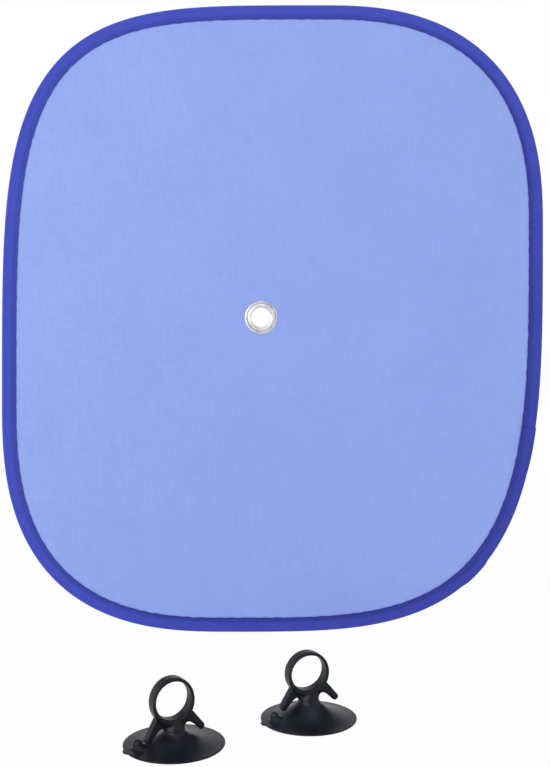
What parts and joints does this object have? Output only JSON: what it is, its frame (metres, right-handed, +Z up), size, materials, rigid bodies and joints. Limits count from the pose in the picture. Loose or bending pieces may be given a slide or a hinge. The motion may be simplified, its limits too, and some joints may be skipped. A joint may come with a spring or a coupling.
{
  "type": "car side window sunshade",
  "caption": "Folding car window sunshade: pale blue fabric on a sprung wire hoop with a dark blue taped edge and a metal eyelet, with its two black suction cups.",
  "frame": {"origin": "middle of the eyelet, at the fabric's middle plane", "axes": "+Z up as the shade hangs, +Y from the inside of the car towards the window glass, +X to the viewer's right"},
  "size_m": [0.38, 0.2326, 0.44],
  "materials": {
    "panel_fabric": "plain woven polyester, matt",
    "binding_tape": "ribbed folded tape, matt, stitched",
    "spring_steel": "drawn wire",
    "eyelet_nickel": "bright nickel plate",
    "cup_rubber": "soft moulded, satin"
  },
  "bodies": {
    "root": {"fabric_panel": "panel_fabric", "edge_binding": "binding_tape", "hoop_wire": "spring_steel", "hoop_sleeve": "spring_steel", "eyelet_barrel": "eyelet_nickel", "eyelet_washer": "eyelet_nickel", "suction_cup_right": "cup_rubber", "suction_cup_left": "cup_rubber"}
  },
  "joints": []
}
